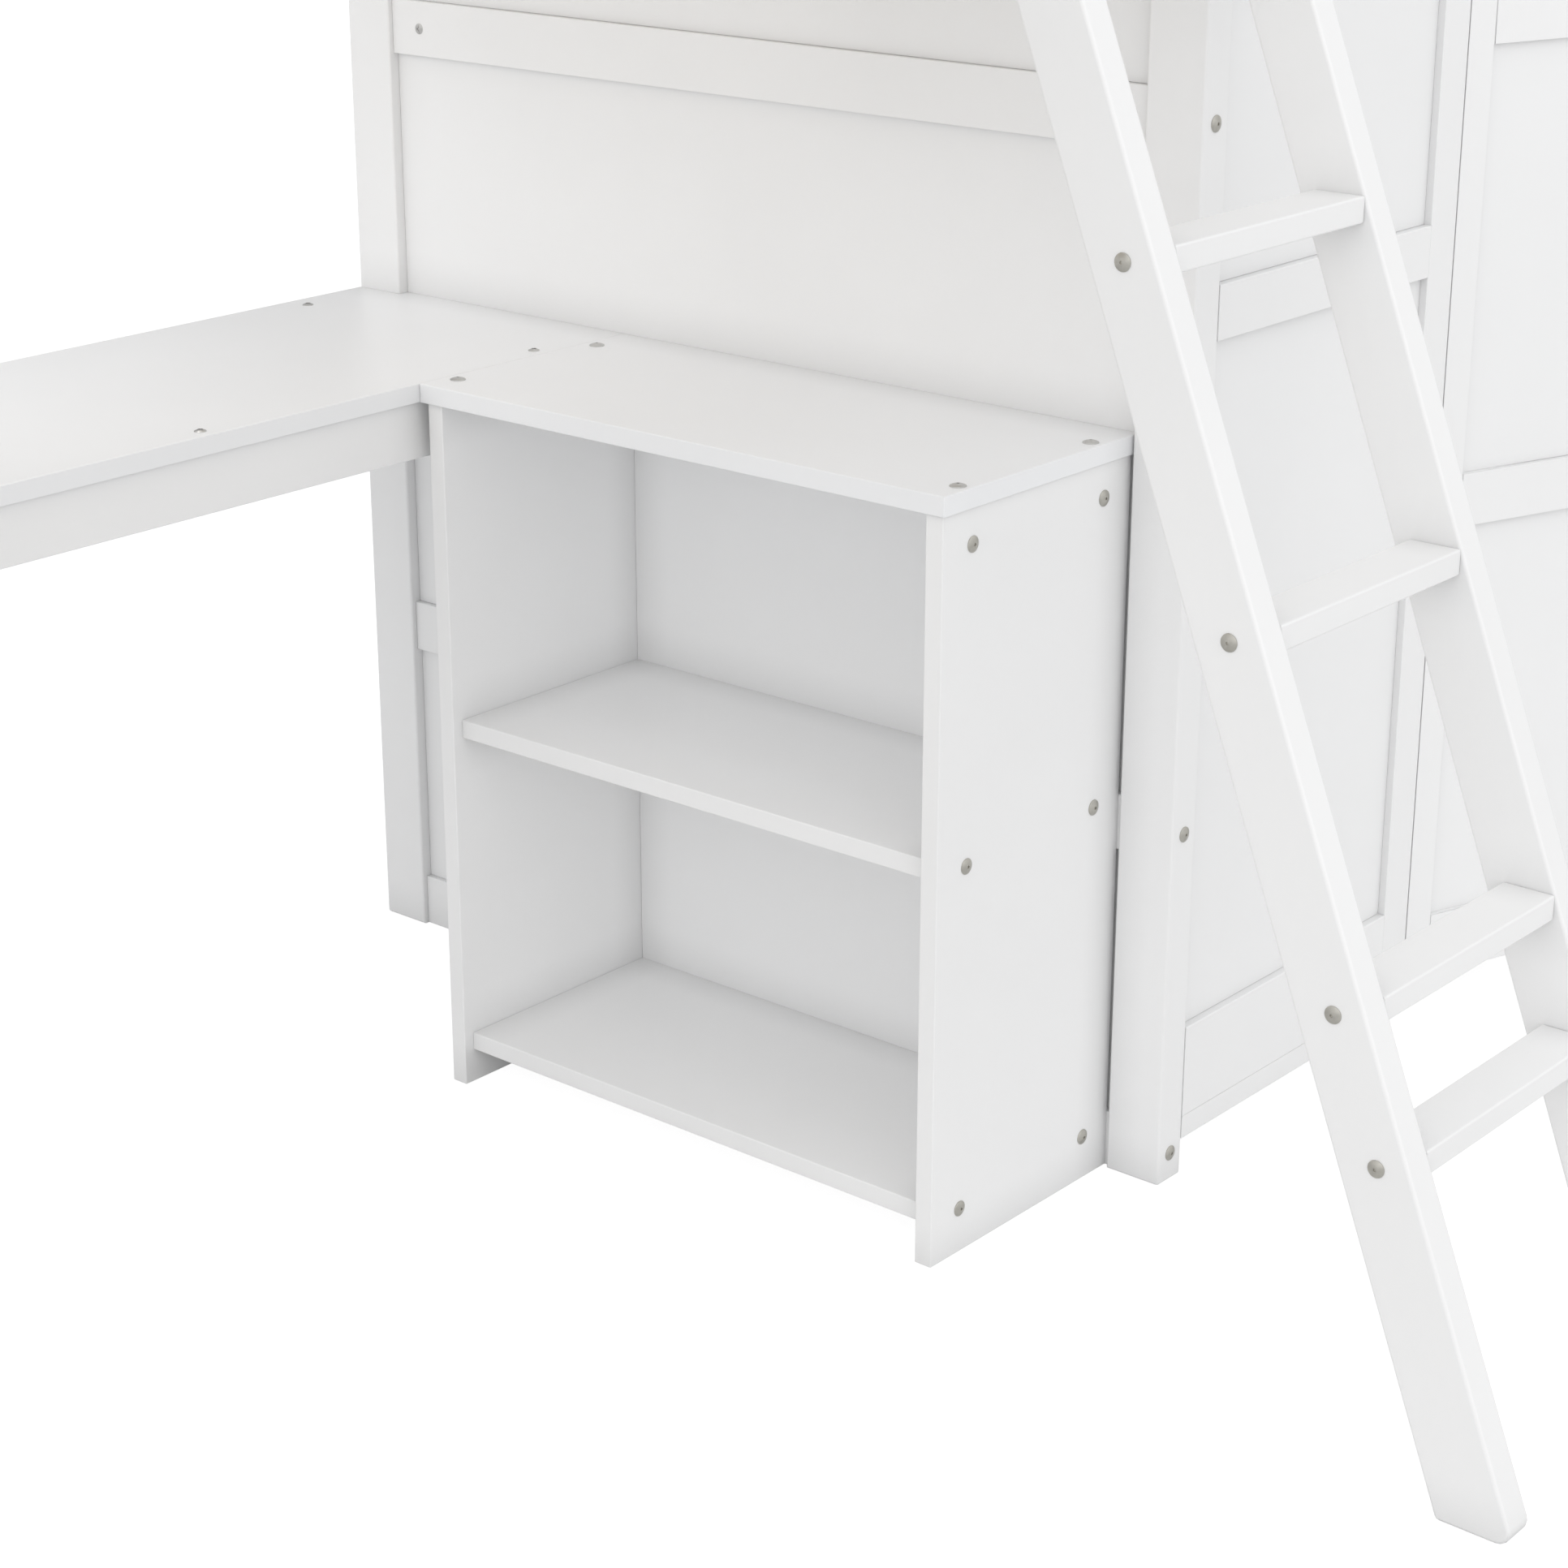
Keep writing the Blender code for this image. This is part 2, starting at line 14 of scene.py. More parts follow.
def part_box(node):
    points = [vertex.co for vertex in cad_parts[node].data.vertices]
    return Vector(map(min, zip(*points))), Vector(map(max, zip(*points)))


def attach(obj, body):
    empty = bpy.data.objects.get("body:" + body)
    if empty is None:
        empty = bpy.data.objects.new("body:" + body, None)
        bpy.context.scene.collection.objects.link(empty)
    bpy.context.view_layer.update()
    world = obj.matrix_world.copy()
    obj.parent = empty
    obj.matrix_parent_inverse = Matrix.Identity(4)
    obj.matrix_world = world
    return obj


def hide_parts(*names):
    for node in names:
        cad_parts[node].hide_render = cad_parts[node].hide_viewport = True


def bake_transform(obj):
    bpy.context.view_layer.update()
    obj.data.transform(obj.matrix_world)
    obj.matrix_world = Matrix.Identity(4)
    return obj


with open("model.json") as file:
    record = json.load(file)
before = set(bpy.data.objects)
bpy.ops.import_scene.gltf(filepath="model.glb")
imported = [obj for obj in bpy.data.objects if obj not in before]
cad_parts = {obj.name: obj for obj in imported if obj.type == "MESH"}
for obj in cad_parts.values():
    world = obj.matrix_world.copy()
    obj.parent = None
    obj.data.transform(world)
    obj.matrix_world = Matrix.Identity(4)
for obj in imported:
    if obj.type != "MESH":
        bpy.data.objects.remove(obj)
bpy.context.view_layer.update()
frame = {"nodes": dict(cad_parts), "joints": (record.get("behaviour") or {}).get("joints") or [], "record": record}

BED = "bed"
DOOR = "door"
BOXES = {name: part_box(name) for name in frame["nodes"]}
JOINT = frame["joints"][0]
HINGE = Vector(JOINT["pos_m"])
AJAR = math.radians(-JOINT["range_deg"][0])     # how far the door stands open at rest
# Takes a place on the shut door, from the hinge's axis, to where it is at rest
SHUT_TO_REST = Matrix.Translation((HINGE.x, HINGE.y, 0.0)) @ Matrix.Rotation(-AJAR, 4, "Z")

# The camera, from the foot of the partition's front post, at its front left corner
CAMERA_FROM_POST = Vector((-2.34462, -1.52966, 1.42771))
CAMERA_TILT = math.radians(69.744)
CAMERA_HEADING = math.radians(-49.687)
CAMERA_LENS = 75.81         # millimetres, for a sensor 36 mm wide

# Light and floor
STUDIO_LEVEL = 0.918        # mean brightness of the white studio
STUDIO_SLOPE = (-0.34, -0.39, 0.04)     # how much that grows towards +X, +Y and +Z
FILL_POWER = 1.0            # watts, of the soft panel over the desk
FILL_WIDTH = 0.65           # of that panel, along the bed
FILL_SHORT = 0.10           # how far it stops short of the bookcase
FILL_DROP = 0.01            # how far it hangs under the long rails
BOUNCES = 10                # between white boards, so that the insides fill with light
FLOOR_REACH = 60.0          # half of its side
FLOOR_DROP = 0.0005         # how far it lies under the feet
FLOOR_GLOW = 0.93           # of the floor where the camera sees it
FLOOR_SEEN = 0.22           # and its grey there

# Rounded edges, by the first words of a node's name
ROUNDING = (
    ("post_", 0.0025),
    ("partition_post", 0.0025),
    ("ladder_rail", 0.0035),
    ("ladder_rung", 0.0020),
    ("side_rail", 0.0025),
    ("end_rail", 0.0020),
    ("guard_", 0.0030),
    ("slat_roll", 0.0015),
    ("partition_panel", 0.0004),
    ("wardrobe_panel", 0.0004),
    ("door_panel", 0.0004),
    ("bookcase_back", 0.0004),
    ("wardrobe_back", 0.0004),
    ("hinge_plate", 0.0005),
)
OTHER_ROUNDING = 0.0012
SEAM_ROUNDING = 0.0001      # where a board butts against another
TOP_SEAM_ROUNDING = 0.0005  # where the desk's top and the bookcase's meet other boards
SEAM_REACH = 0.0007         # an edge this close to another board is a seam
SHORTEST_EDGE = 0.008       # shorter edges stay sharp, but for those of ladder rails and hinge plates
LEAST_TURN = math.radians(30)   # edges where the faces turn less than this stay sharp too
FLAT_TURN = math.radians(1)     # triangles that turn less than this are one flat face
WELD_REACH = 0.00002
WELD_DECIMALS = 5           # two triangles share an edge where its ends agree to this many

# Measures of the CAD's boards that their boxes don't give
BOARD_T = 0.022             # thickness of the long rails and guards
GUARD_STILE = 0.045         # width of the guards' stiles
GUARD_LEVELS = (0.110, 0.250)   # middles of the guards' two rails, over their feet
LEDGE_LEVEL = 0.030         # middle of the slats' ledge, over the foot of the long rail
SLAT_W = 0.070
TAPE_TOP = 0.0022           # the slats' webbing reaches this high over their undersides
TAPE_HALF = 0.015           # half of its width
HINGE_PLATE_T = 0.002
HINGE_BLOCK = 0.012         # width of the block on a hinge plate, at its right end
CUP_BRIM = 0.0025           # how far a hinge cup's rim reaches past its pocket
CUP_BRIM_T = 0.0015

# Places of fasteners
BOLT_INSET = 0.045          # from the edges of a tall rail to its bolts
NUT_REACH = 0.0385          # from a post to the barrel nuts in its rails
RUNG_BOLT_BACK = 0.002      # from a rung's middle to its bolts
CASE_TOP_COLUMNS = (0.2325, 0.0434)     # from the partition to the bolts in the bookcase's top
CASE_SIDE_COLUMNS = (0.2226, 0.0335)    # and to the ones in its sides
CASE_UPPER_BOLTS = 0.663    # height of the upper bolts in its sides
DESK_SCREW = 0.099          # from the partition to the desk top's first screws
DESK_SCREW_PITCH = 0.4185
DESK_SCREW_INSET = 0.028    # from the desk's back edge to its back row of screws

# Finishes
WHITE = (1.0, 1.0, 1.0)
PAINTS_BY_SLOT = (
    # slot, tone, roughness, depth of the wood grain under the paint
    ("white_paint", (0.905, 0.906, 0.908), 0.42, 0.05),
    ("white_panel", (0.904, 0.906, 0.909), 0.46, 0.0),
    ("white_top", (0.893, 0.901, 0.914), 0.36, 0.0),
)
# Painted shade: the paint's colour is darkened near corners and in recesses, down to this share, in place of the
# shade that falls there
PAINTED_SHADE_REACH = 0.045        # how far from a corner the painted shade reaches
PAINTED_SHADE_LEVEL = 0.84
RING_POINTS = 36            # round the head of a bolt or a screw
TURNED_POINTS = 64          # round the knob, the rod and its sockets
CUP_POINTS = 48             # round a hinge cup
CREASE = math.radians(35)   # edges of a fitting that turn more than this look sharp


# ---------------------------------------------------------------- materials


class Graph:
    """The node tree of a material or of the world, with short calls for its nodes."""

    def __init__(self, owner, shader="Principled BSDF"):
        owner.use_nodes = True
        self.owner = owner
        self.tree = owner.node_tree
        self.shader = self.tree.nodes[shader]

    def add(self, kind, **settings):
        made = self.tree.nodes.new("ShaderNode" + kind)
        for key, value in settings.items():
            setattr(made, key, value)
        return made

    def feed(self, value, socket):
        """Link an output to a socket, or set the socket's own value."""
        if isinstance(value, bpy.types.NodeSocket):
            self.tree.links.new(value, socket)
        else:
            socket.default_value = value

    def finish(self, colour, roughness, normal):
        """Feed a material's shader, and return the material."""
        self.feed(colour, self.shader.inputs["Base Color"])
        self.feed(roughness, self.shader.inputs["Roughness"])
        self.feed(normal, self.shader.inputs["Normal"])
        return self.owner

    def place(self, x=1.0, y=1.0, z=1.0):
        """Object coordinates, scaled along each axis."""
        mapped = self.add("Mapping")
        self.feed(self.add("TexCoord").outputs["Object"], mapped.inputs["Vector"])
        self.feed((x, y, z), mapped.inputs["Scale"])
        return mapped.outputs["Vector"]

    def noise(self, vector, scale=1.0, detail=3.0, rough=0.5):
        made = self.add("TexNoise")
        self.feed(vector, made.inputs["Vector"])
        self.feed(scale, made.inputs["Scale"])
        self.feed(detail, made.inputs["Detail"])
        self.feed(rough, made.inputs["Roughness"])
        return made.outputs["Fac"]

    def threads(self, vector, direction, scale):
        """Waves in parallel bands across one axis."""
        made = self.add("TexWave", wave_type="BANDS", bands_direction=direction)
        self.feed(vector, made.inputs["Vector"])
        self.feed(scale, made.inputs["Scale"])
        return made.outputs["Color"]

    def ramp(self, factor, *stops):
        """A colour ramp from (position, colour) stops."""
        made = self.add("ValToRGB")
        elements = made.color_ramp.elements
        while len(elements) < len(stops):
            elements.new(0.5)
        for element, (position, colour) in zip(elements, stops):
            element.position = position
            element.color = (*colour, 1.0)
        self.feed(factor, made.inputs["Fac"])
        return made.outputs["Color"]

    def spread(self, factor, low, high):
        """Map a 0 to 1 factor to low to high."""
        made = self.add("MapRange")
        self.feed(factor, made.inputs["Value"])
        self.feed(low, made.inputs["To Min"])
        self.feed(high, made.inputs["To Max"])
        return made.outputs["Result"]

    def mixed(self, mode, factor, first, second):
        made = self.add("Mix", data_type="RGBA", blend_type=mode)
        self.feed(factor, made.inputs["Factor"])
        self.feed(first, made.inputs["A"])
        self.feed(second, made.inputs["B"])
        return made.outputs["Result"]

    def calc(self, operation, *values):
        made = self.add("Math", operation=operation)
        for number, value in enumerate(values):
            self.feed(value, made.inputs[number])
        return made.outputs["Value"]

    def bump(self, height, strength, distance, under=None):
        """Relief from a height, over other relief if any."""
        made = self.add("Bump")
        self.feed(height, made.inputs["Height"])
        self.feed(strength, made.inputs["Strength"])
        self.feed(distance, made.inputs["Distance"])
        if under is not None:
            self.feed(under, made.inputs["Normal"])
        return made.outputs["Normal"]


def grey(level):
    return (level, level, level)


def stretched(along, fine, coarse):
    """A texture scale that is coarse along one axis and fine across it."""
    return [coarse if axis == along else fine for axis in range(3)]


def painted(name, tone, roughness, along, grain):
    """Satin white paint: brushed along the board, with faint grain under it on solid wood, and painted shade that
    darkens its colour near corners and in recesses.
    """
    graph = Graph(bpy.data.materials.new(name))
    cloud = graph.noise(graph.place(), scale=3.0)
    dim = [part * 0.985 for part in tone]
    bright = [min(1.0, part * 1.012) for part in tone]
    coat = graph.ramp(cloud, (0.3, dim), (0.7, bright))
    # Painted shade: an ambient occlusion node darkens the colour near corners and in recesses
    corner = graph.add("AmbientOcclusion", samples=4)
    graph.feed(PAINTED_SHADE_REACH, corner.inputs["Distance"])
    painted_shade = graph.ramp(corner.outputs["AO"], (0.40, grey(PAINTED_SHADE_LEVEL)), (0.95, WHITE))
    colour = graph.mixed("MULTIPLY", 1.0, coat, painted_shade)

    brushed = graph.noise(graph.place(*stretched(along, fine=420.0, coarse=9.0)), detail=4.0)
    speckle = graph.noise(graph.place(), scale=700.0, detail=2.0)
    uneven = graph.spread(brushed, roughness - 0.07, roughness + 0.07)
    skin = graph.bump(speckle, strength=0.10, distance=0.0004)
    skin = graph.bump(brushed, strength=0.12 + grain, distance=0.0005, under=skin)
    if grain:
        pores = graph.noise(graph.place(*stretched(along, fine=60.0, coarse=2.5)), detail=5.0, rough=0.65)
        skin = graph.bump(pores, strength=grain, distance=0.0012, under=skin)
    return graph.finish(colour, uneven, skin)


def on_tape(graph):
    """1 where the slat roll is its two webbing tapes, else 0."""
    low, high = BOXES["slat_roll"]
    quarter = (high.y - low.y) / 4
    parts = graph.add("SeparateXYZ")
    graph.feed(graph.place(), parts.inputs["Vector"])
    near = graph.calc("COMPARE", parts.outputs["Y"], low.y + quarter + TAPE_HALF, TAPE_HALF)
    far = graph.calc("COMPARE", parts.outputs["Y"], high.y - quarter - TAPE_HALF, TAPE_HALF)
    under = graph.calc("COMPARE", parts.outputs["Z"], low.z, TAPE_TOP)
    return graph.calc("MULTIPLY", graph.calc("MAXIMUM", near, far), under)


def slats(name):
    """Planed pine with its grain along Y, a little different on each slat, on woven tapes."""
    graph = Graph(bpy.data.materials.new(name))
    wavy = graph.noise(graph.place(9.0, 1.4, 9.0), detail=2.0)
    shifted = graph.add("VectorMath", operation="MULTIPLY_ADD")
    graph.feed(wavy, shifted.inputs[0])
    graph.feed((9.0, 9.0, 9.0), shifted.inputs[1])
    graph.feed(graph.place(70.0, 2.0, 70.0), shifted.inputs[2])
    rings = graph.noise(shifted.outputs["Vector"], detail=3.0, rough=0.55)
    tint = graph.noise(graph.place(5.5, 0.2, 5.5), detail=0.0)
    dark, mid, pale = (0.75, 0.63, 0.48), (0.82, 0.72, 0.58), (0.86, 0.78, 0.66)
    grain = graph.ramp(rings, (0.30, dark), (0.52, mid), (0.75, pale))
    shade = graph.ramp(tint, (0.35, (0.94, 0.92, 0.89)), (0.65, WHITE))
    wood = graph.mixed("MULTIPLY", 1.0, grain, shade)

    even = graph.place()
    weave = graph.mixed("MULTIPLY", 1.0, graph.threads(even, "Y", 190.0), graph.threads(even, "X", 130.0))
    woven = graph.ramp(weave, (0.0, (0.60, 0.59, 0.56)), (1.0, (0.86, 0.85, 0.83)))

    tape = on_tape(graph)
    colour = graph.mixed("MIX", tape, wood, woven)
    fibre = graph.noise(graph.place(900.0, 18.0, 900.0), detail=3.0)
    relief = graph.mixed("MIX", tape, fibre, weave)
    skin = graph.bump(relief, strength=0.30, distance=0.0005)
    skin = graph.bump(rings, strength=0.20, distance=0.0006, under=skin)
    return graph.finish(colour, graph.spread(fibre, 0.55, 0.75), skin)


def metal(name, tone, roughness):
    """Plated steel, dulled unevenly, with fine scratches."""
    graph = Graph(bpy.data.materials.new(name))
    graph.feed(1.0, graph.shader.inputs["Metallic"])
    blotch = graph.noise(graph.place(), scale=160.0, detail=4.0)
    dull = [part * 0.88 for part in tone]
    colour = graph.ramp(blotch, (0.35, dull), (0.65, tone))
    scratch = graph.noise(graph.place(300.0, 300.0, 2600.0), detail=3.0)
    uneven = graph.spread(scratch, roughness - 0.08, roughness + 0.10)
    return graph.finish(colour, uneven, graph.bump(scratch, strength=0.15, distance=0.0001))


PAINTS = {}
for paint_slot, paint_tone, paint_roughness, paint_grain in PAINTS_BY_SLOT:
    for axis_number, axis_name in enumerate("xyz"):
        paint = painted(f"{paint_slot}_{axis_name}", paint_tone, paint_roughness, axis_number, paint_grain)
        PAINTS[paint_slot, axis_number] = paint
PINE = slats("bare_pine_slats")
STEEL = metal("steel_plated", (0.64, 0.635, 0.62), 0.34)
BOLT_STEEL = metal("steel_bolt", (0.56, 0.545, 0.50), 0.40)


# ---------------------------------------------------------------- CAD boards


def long_axis(name):
    """The number of the axis that a board is longest along."""
    low, high = BOXES[name]
    size = high - low
    return max(range(3), key=lambda axis: size[axis])


def rounding(name):
    """How far a node's own edges are rounded."""
    for start, radius in ROUNDING:
        if name.startswith(start):
            return radius
    return OTHER_ROUNDING


def is_seam(point, name):
    """Whether a point of a board's edge lies against another board.

    A ladder rail leans, so its box reaches far past it and isn't looked at.
    """
    for other, (low, high) in BOXES.items():
        if other == name or other.startswith("ladder_rail"):
            continue
        if all(low[axis] - SEAM_REACH < point[axis] < high[axis] + SEAM_REACH for axis in range(3)):
            return True
    return False


def edge_faces(mesh):
    """For each edge, found by the places of its ends: the faces' normals and the edges' numbers."""
    found = {}
    for face in mesh.polygons:
        for corner in face.loop_indices:
            edge = mesh.loops[corner].edge_index
            ends = [mesh.vertices[n].co for n in mesh.edges[edge].vertices]
            key = frozenset(tuple(round(part, WELD_DECIMALS) for part in end) for end in ends)
            found.setdefault(key, []).append((face.normal.copy(), edge))
    return found


def weigh_edges(name, mesh, radius):
    """Choose the edges to round: a board's own edges fully, and its seams much less."""
    weights = mesh.attributes.new("bevel_weight_edge", "FLOAT", "EDGE")
    seam = TOP_SEAM_ROUNDING if name in ("desk_top", "bookcase_top") else SEAM_ROUNDING
    shortest = 0.0 if name.startswith(("hinge_plate", "ladder_rail")) else SHORTEST_EDGE
    for key, sides in edge_faces(mesh).items():
        if len(sides) != 2 or sides[0][0].angle(sides[1][0]) < LEAST_TURN:
            continue
        first, second = (Vector(end) for end in key)
        if (second - first).length < shortest:
            continue
        own = name.startswith("ladder_rail") or not is_seam((first + second) / 2, name)
        for _, edge in sides:
            weights.data[edge].value = 1.0 if own else seam / radius


def round_edges(name):
    """Weld the CAD's triangles into flat faces, and round the edges between them."""
    node = frame["nodes"][name]
    mesh = node.data
    radius = rounding(name)
    weigh_edges(name, mesh, radius)
    mesh.attributes.remove(mesh.attributes["custom_normal"])
    mesh.shade_smooth()

    weld = node.modifiers.new("weld", "WELD")
    weld.merge_threshold = WELD_REACH
    flat = node.modifiers.new("flat", "DECIMATE")
    flat.decimate_type = "DISSOLVE"
    flat.angle_limit = FLAT_TURN
    flat.delimit = {"MATERIAL"}
    bevel = node.modifiers.new("rounding", "BEVEL")
    bevel.limit_method = "WEIGHT"
    bevel.width = radius
    bevel.segments = 3
    bevel.harden_normals = True


def finish_boards():
    """Give every CAD node its material, and round the boards and the hinge plates."""
    for entry in frame["record"]["subparts"]:
        name = entry["node"]
        slot = entry["material_slot"]
        node = frame["nodes"][name]
        if slot == "plated_steel":
            node.data.materials[0] = STEEL
        elif slot == "bare_pine":
            node.data.materials[0] = PINE
        else:
            node.data.materials[0] = PAINTS[slot, long_axis(name)]
        if slot != "plated_steel" or name.startswith("hinge_plate"):
            round_edges(name)


# ---------------------------------------------------------------- pieces


def add_piece(name, work, body, material):
    """Turn a bmesh into a piece that rides on a body, or on none."""
    bmesh.ops.recalc_face_normals(work, faces=work.faces)
    mesh = bpy.data.meshes.new(name)
    work.to_mesh(mesh)
    work.free()
    mesh.materials.append(material)
    mesh.shade_smooth()
    mesh.set_sharp_from_angle(angle=CREASE)
    made = bpy.data.objects.new(name, mesh)
    bpy.context.scene.collection.objects.link(made)
    if body:
        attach(made, body)
    return made


def aimed(place, normal):
    """A matrix that takes +Z to the normal, at a place."""
    turn = Vector(normal).to_track_quat("Z", "Y").to_matrix().to_4x4()
    return Matrix.Translation(place) @ turn


def loft(work, rings, matrix):
    """Join rings of the same number of (x, y, z) points, and close both ends."""
    made = [[work.verts.new(matrix @ Vector(point)) for point in ring] for ring in rings]
    count = len(made[0])
    for low, high in zip(made, made[1:]):
        for n in range(count):
            work.faces.new((low[n], low[(n + 1) % count], high[(n + 1) % count], high[n]))
    work.faces.new(made[0][::-1])
    work.faces.new(made[-1])


def round_ring(radius, height, count=RING_POINTS):
    """A ring whose radius is a number or a function of the angle."""
    ring = []
    for n in range(count):
        angle = 2 * math.pi * n / count
        reach = radius(angle) if callable(radius) else radius
        ring.append((reach * math.cos(angle), reach * math.sin(angle), height))
    return ring


def hexagon(across):
    """Outline of a hexagonal socket, as a function of the angle."""
    def reach(angle):
        return across / 2 / math.cos((angle + math.pi / 6) % (math.pi / 3) - math.pi / 6)
    return reach


def cross(arm, half_width):
    """Outline of a cross recess, as a function of the angle."""
    def reach(angle):
        off = abs((angle + math.pi / 4) % (math.pi / 2) - math.pi / 4)
        side = half_width / max(math.sin(off), half_width / arm)
        return min(arm, side)
    return reach


def domed_head(work, place, normal, radius, height, socket, depth):
    """A bolt's or screw's low domed head with a socket in it."""
    sunk = 0.0003
    rim = height * 0.28
    rings = [round_ring(radius * 0.97, -sunk), round_ring(radius, rim * 0.4)]
    rings.append(round_ring(radius * 0.985, rim))
    for part in (0.93, 0.84, 0.72, 0.58, 0.45):
        rings.append(round_ring(radius * part, rim + (height - rim) * (1 - part * part)))
    rings.append(round_ring(socket, height * 0.97))
    rings.append(round_ring(socket, height - depth))
    loft(work, rings, aimed(place, normal))


BOLT = dict(radius=0.0074, height=0.0026, socket=hexagon(0.0026), depth=0.0010)
LOW_BOLT = dict(radius=0.0074, height=0.0009, socket=hexagon(0.0032), depth=0.0007)
SCREW = dict(radius=0.0056, height=0.0020, socket=cross(0.0030, 0.0007), depth=0.0014)
SMALL_SCREW = dict(radius=0.0032, height=0.0012, socket=cross(0.0020, 0.0004), depth=0.0008)
NUT = dict(radius=0.0054, height=0.0010, socket=cross(0.0042, 0.0007), depth=0.0008)


def fasteners(name, body, kind, spots, material=BOLT_STEEL):
    """One piece that holds a group of the same fasteners at (place, normal) spots."""
    work = bmesh.new()
    for place, normal in spots:
        domed_head(work, place, normal, **kind)
    add_piece(name, work, body, material)


LEFT, RIGHT = Vector((-1, 0, 0)), Vector((1, 0, 0))
FRONT, BACK = Vector((0, -1, 0)), Vector((0, 1, 0))
UP = Vector((0, 0, 1))


def middle(name):
    """The centre of a node's box."""
    low, high = BOXES[name]
    return (low + high) / 2


def add_ladder_bolts():
    """Bolts through the ladder's rails into the rungs."""
    for side, face, normal in (("left", 0, LEFT), ("right", 1, RIGHT)):
        x = BOXES[f"ladder_rail_{side}"][face].x
        rungs = [middle(f"ladder_rung_{n}") for n in range(1, 6)]
        spots = [(Vector((x, rung.y + RUNG_BOLT_BACK, rung.z)), normal) for rung in rungs]
        fasteners(f"ladder_bolts_{side}", BED, BOLT, spots)


def add_rail_bolts():
    """Bolts through the faces of the posts into the rails between them, and their barrel nuts."""
    across = [f"partition_rail_{level}" for level in ("bottom", "middle", "upper")]
    groups = {
        "partition": ("partition_post", across, LEFT),
        "left_end": ("post_left", ("end_left_rail_bottom", "desk_support_rail", "end_rail_left"), RIGHT),
        "right_end": ("post_right", ("end_right_rail_bottom", "end_rail_right"), LEFT),
    }
    for group, (post, rails, inside) in groups.items():
        front = BOXES[f"{post}_front"][0].y
        back = BOXES[f"{post}_back"][0].y
        bolts, hidden, nuts = [], [], []
        for rail in rails:
            low, high = BOXES[rail]
            centre = middle(rail)
            tall = high.z - low.z > 2 * BOLT_INSET
            levels = (low.z + BOLT_INSET, high.z - BOLT_INSET) if tall else (centre.z,)
            face = high.x if inside == RIGHT else low.x
            for z in levels:
                bolts.append((Vector((centre.x, front, z)), FRONT))
                hidden.append((Vector((centre.x, back, z)), BACK))
                for y in (low.y + NUT_REACH, high.y - NUT_REACH):
                    nuts.append((Vector((face, y, z)), inside))
        fasteners(f"{group}_post_bolts", BED, BOLT, bolts)
        fasteners(f"{group}_rear_bolts", BED, LOW_BOLT, hidden)
        fasteners(f"{group}_barrel_nuts", BED, NUT, nuts, STEEL)


def add_desk_fasteners():
    """Bolts in the bookcase's top and sides, and screws in the desk's top."""
    partition = BOXES["partition_post_front"][0].x
    case_high = BOXES["bookcase_top"][1].z
    desk_high = BOXES["desk_top"][1]

    columns = [partition - off for off in CASE_TOP_COLUMNS]
    sides = (middle("bookcase_side_right").y, middle("bookcase_side_left").y)
    spots = [(Vector((x, y, case_high)), UP) for x in columns for y in sides]
    fasteners("bookcase_top_bolts", BED, BOLT, spots, STEEL)

    columns = [partition - DESK_SCREW - DESK_SCREW_PITCH * n for n in range(3)]
    rows = (middle("desk_apron_front").y, desk_high.y - DESK_SCREW_INSET)
    spots = [(Vector((x, y, desk_high.z)), UP) for x in columns for y in rows]
    fasteners("desk_top_screws", BED, SCREW, spots, STEEL)

    columns = [partition - off for off in CASE_SIDE_COLUMNS]
    heights = (CASE_UPPER_BOLTS, middle("bookcase_shelf").z, middle("bookcase_bottom").z)
    for side, face, normal in (("right", 0, FRONT), ("left", 1, BACK)):
        y = BOXES[f"bookcase_side_{side}"][face].y
        spots = [(Vector((x, y, z)), normal) for x in columns for z in heights]
        fasteners(f"bookcase_{side}_bolts", BED, BOLT, spots)


def add_deck_bolts():
    """Bolts through the outer faces of the corner posts into the rails and guards between them."""
    spots = []
    for board in ("side_rail_front", "side_rail_back", "guard_front_left", "guard_front_right", "guard_back"):
        low, high = BOXES[board]
        y = low.y + BOARD_T / 2 if "front" in board else high.y - BOARD_T / 2
        levels = (low.z + BOLT_INSET, high.z - BOLT_INSET)
        if board.startswith("guard"):
            levels = [low.z + level for level in GUARD_LEVELS]
        for z in levels:
            if board != "guard_front_right":
                spots.append((Vector((BOXES["post_left_front"][0].x, y, z)), LEFT))
            if board != "guard_front_left":
                spots.append((Vector((BOXES["post_right_front"][1].x, y, z)), RIGHT))
    fasteners("long_rail_bolts", BED, LOW_BOLT, spots)

    spots = []
    for board in ("guard_left", "guard_right"):
        x = middle(board).x
        for level in GUARD_LEVELS:
            z = BOXES[board][0].z + level
            spots.append((Vector((x, BOXES["post_left_front"][0].y, z)), FRONT))
            spots.append((Vector((x, BOXES["post_left_back"][1].y, z)), BACK))
    fasteners("end_guard_bolts", BED, LOW_BOLT, spots)


def add_slat_screws():
    """Screws that hold the first and last slat, and the ones that hold the ledges to the long rails."""
    from_end = 0.012
    low, high = BOXES["slat_roll"]
    spots = []
    for x in (low.x + SLAT_W / 2, high.x - SLAT_W / 2):
        for y in (low.y + from_end, high.y - from_end):
            spots.append((Vector((x, y, high.z)), UP))
    fasteners("slat_end_screws", BED, SCREW, spots, STEEL)

    count = 8
    spots = []
    for board, face, normal in (("side_rail_front", 1, BACK), ("side_rail_back", 0, FRONT)):
        low, high = BOXES[board]
        y = BOXES[board][face].y
        for n in range(count):
            x = low.x + (high.x - low.x) * (n + 0.5) / count
            spots.append((Vector((x, y, low.z + LEDGE_LEVEL)), normal))
    fasteners("ledge_screws", BED, SMALL_SCREW, spots, STEEL)


